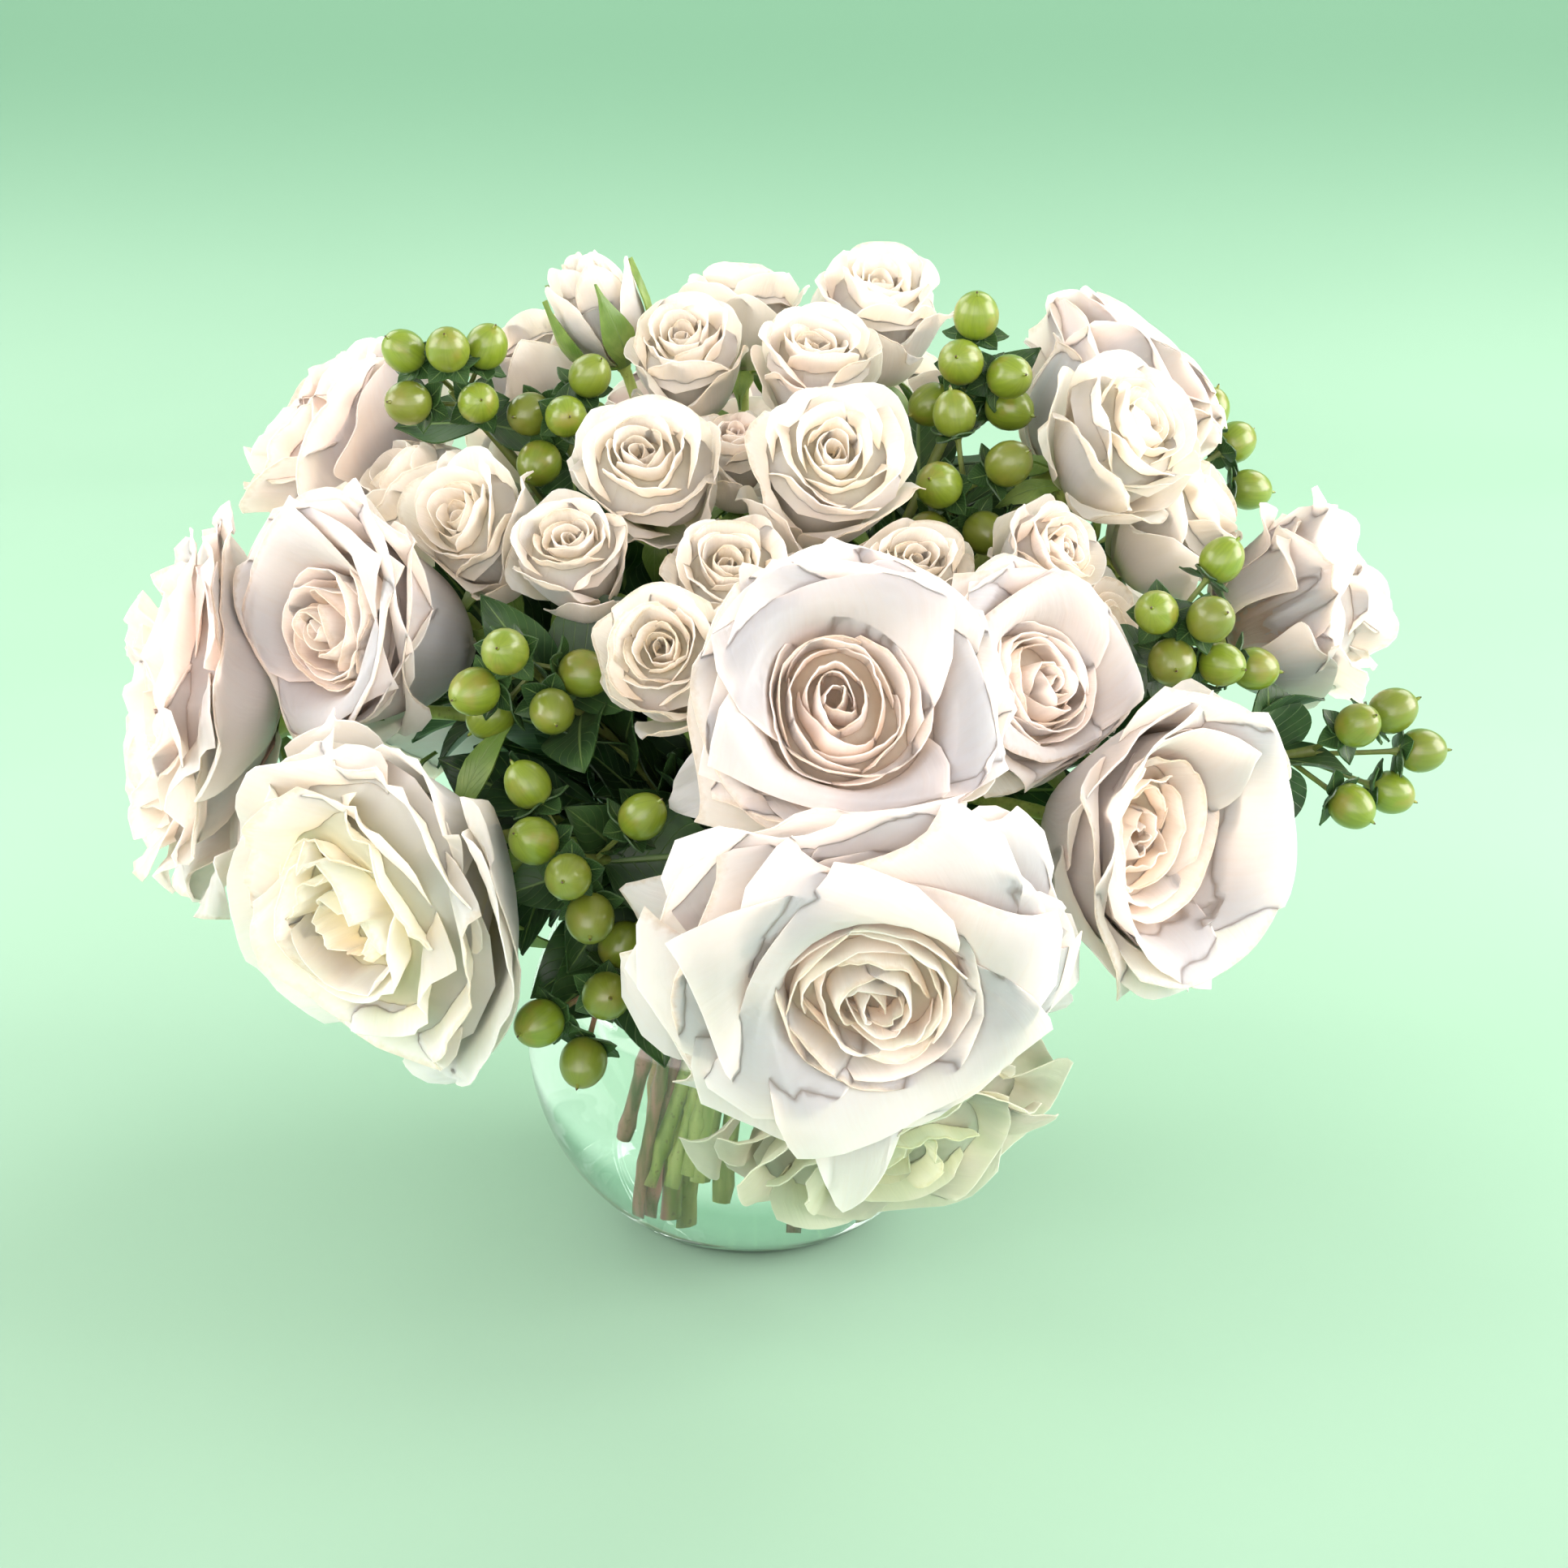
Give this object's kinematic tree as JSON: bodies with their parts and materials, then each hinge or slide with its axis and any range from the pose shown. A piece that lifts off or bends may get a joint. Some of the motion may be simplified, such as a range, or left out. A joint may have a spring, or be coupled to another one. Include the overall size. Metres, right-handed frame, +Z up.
{
  "type": "floral table centerpiece",
  "caption": "Low round arrangement of white garden roses, white spray roses and green hypericum berries, standing in water in a clear glass bubble bowl.",
  "frame": {"origin": "middle of the bowl's flat foot, on the surface that it stands on", "axes": "+Z up out of the bowl's neck, -Y to the side seen first, +X to that side's right"},
  "size_m": [0.3885, 0.327, 0.2962],
  "materials": {
    "glass": "clear and polished",
    "water": "clear and still",
    "ivory_petals": "soft matt, with a faint sheen",
    "cream_petals": "soft matt, with a faint sheen",
    "stems": "smooth green bark",
    "hypericum": "glossy berries on waxy leaves"
  },
  "bodies": {
    "root": {"bowl": "glass", "water": "water", "rose_far_left": "ivory_petals", "rose_left": "ivory_petals", "rose_upper_left": "ivory_petals", "rose_left_inner": "cream_petals", "rose_lower_left": "ivory_petals", "rose_front": "ivory_petals", "rose_low_front": "ivory_petals", "rose_front_inner": "ivory_petals", "rose_right_front": "ivory_petals", "rose_far_right": "ivory_petals", "rose_upper_right": "ivory_petals", "rose_under_front": "ivory_petals", "rose_right_inner": "cream_petals", "rose_right_upper": "cream_petals", "rose_back": "ivory_petals", "rose_back_right": "ivory_petals", "rose_back_left": "ivory_petals", "rose_back_low": "ivory_petals", "rose_back_upper": "ivory_petals", "spray_bud_top_left": "cream_petals", "spray_rose_top_far": "cream_petals", "spray_rose_top": "cream_petals", "spray_rose_top_back": "cream_petals", "spray_rose_high": "cream_petals", "spray_rose_top_front": "cream_petals", "spray_rose_left": "cream_petals", "spray_rose_left_small": "cream_petals", "spray_rose_middle": "cream_petals", "spray_rose_middle_right": "cream_petals", "spray_rose_middle_inner": "cream_petals", "spray_rose_front_upper": "cream_petals", "spray_rose_front": "cream_petals", "spray_rose_front_right": "cream_petals", "spray_rose_right_small": "cream_petals", "spray_rose_right": "cream_petals", "spray_rose_back": "cream_petals", "spray_rose_back_left": "cream_petals", "stems_front": "stems", "stems_left": "stems", "stems_middle": "stems", "stems_right": "stems", "stems_back": "stems", "berries_top_left": "hypericum", "berries_top_left_inner": "hypericum", "berries_top_right": "hypericum", "berries_middle_right": "hypericum", "berries_left": "hypericum", "berries_front_left": "hypericum", "berries_low_left": "hypericum", "berries_right": "hypericum", "berries_far_right": "hypericum", "berries_upper_right": "hypericum", "berries_back": "hypericum", "berries_back_left": "hypericum"}
  },
  "joints": []
}
